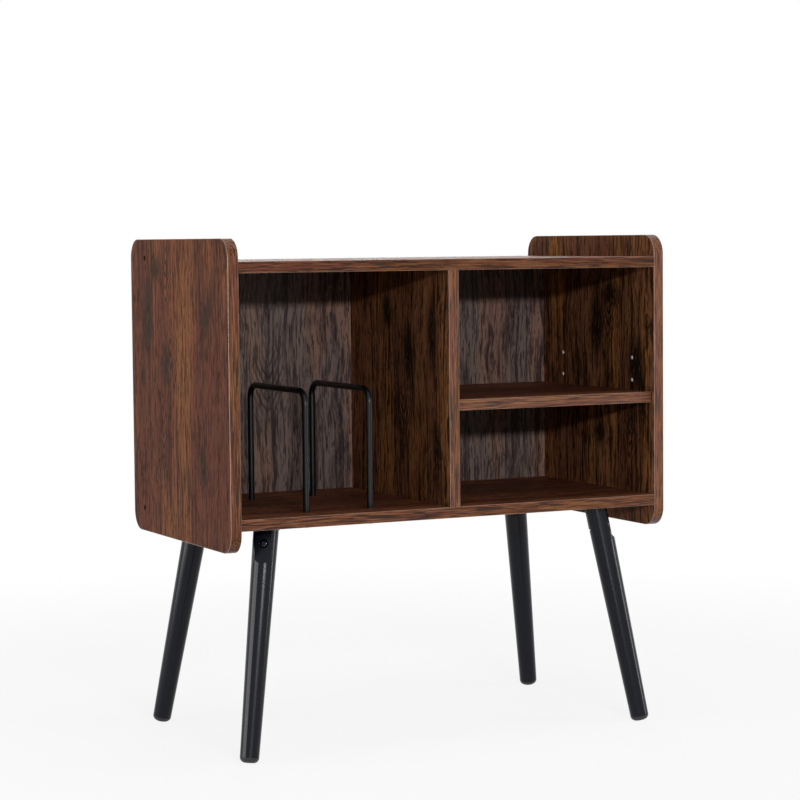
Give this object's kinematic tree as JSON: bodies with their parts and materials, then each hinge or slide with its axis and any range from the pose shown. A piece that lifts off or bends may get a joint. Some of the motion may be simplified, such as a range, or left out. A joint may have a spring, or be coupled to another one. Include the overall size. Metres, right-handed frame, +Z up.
{
  "type": "record cabinet",
  "caption": "Low walnut-look media cabinet with raised rounded sides, a record bay with wire dividers, an open bay with a loose shelf, and splayed black tapered legs.",
  "frame": {"origin": "on the floor, under the middle of the cabinet's width and depth", "axes": "+Z up, the open front faces -Y, +X is to the right for someone facing the front"},
  "size_m": [0.7, 0.384, 0.732],
  "materials": {
    "walnut_laminate": "satin printed laminate",
    "walnut_edge_band": "satin edge banding",
    "back_board_laminate": "matt printed board",
    "black_coated_wire": "satin powder coat",
    "black_coated_steel": "satin powder coat",
    "black_lacquered_wood": "satin black lacquer",
    "glide_plastic": "matt",
    "zinc_plated_steel": "bright zinc plate",
    "die_cast_zinc": "die cast, nickel plated",
    "beech_dowel": "raw fluted wood",
    "white_plastic": "satin",
    "brown_plastic": "satin"
  },
  "bodies": {
    "cabinet": {"back_panel": "back_board_laminate", "bottom_front_band": "walnut_edge_band", "bottom_panel": "walnut_laminate", "bottom_rear_band": "walnut_edge_band", "bracket_screws": "zinc_plated_steel", "cam_locks": "die_cast_zinc", "cam_studs": "zinc_plated_steel", "divider_front_band": "walnut_edge_band", "divider_panel": "walnut_laminate", "divider_screws": "zinc_plated_steel", "foot_glide_front_left": "glide_plastic", "foot_glide_front_right": "glide_plastic", "foot_glide_rear_left": "glide_plastic", "foot_glide_rear_right": "glide_plastic", "leg_bolt_nuts": "zinc_plated_steel", "leg_bolt_washers": "zinc_plated_steel", "leg_bolts": "zinc_plated_steel", "leg_bracket_front_left": "black_coated_steel", "leg_bracket_front_right": "black_coated_steel", "leg_bracket_rear_left": "black_coated_steel", "leg_bracket_rear_right": "black_coated_steel", "leg_front_left": "black_lacquered_wood", "leg_front_right": "black_lacquered_wood", "leg_rear_left": "black_lacquered_wood", "leg_rear_right": "black_lacquered_wood", "pin_hole_caps": "white_plastic", "record_wire_left": "black_coated_wire", "record_wire_right": "black_coated_wire", "shelf_pins": "zinc_plated_steel", "side_edge_band_left": "walnut_edge_band", "side_edge_band_right": "walnut_edge_band", "side_panel_left": "walnut_laminate", "side_panel_right": "walnut_laminate", "top_front_band": "walnut_edge_band", "top_panel": "walnut_laminate", "top_rear_band": "walnut_edge_band", "wire_screw_caps": "brown_plastic", "wire_screws": "zinc_plated_steel", "wood_dowels": "beech_dowel"},
    "shelf": {"shelf_board": "walnut_laminate", "shelf_front_band": "walnut_edge_band"}
  },
  "joints": [
    {"name": "shelf_slide", "type": "slide", "parent": "cabinet", "child": "shelf", "axis": [0, -1, 0], "range_m": [0, 0.335]}
  ]
}
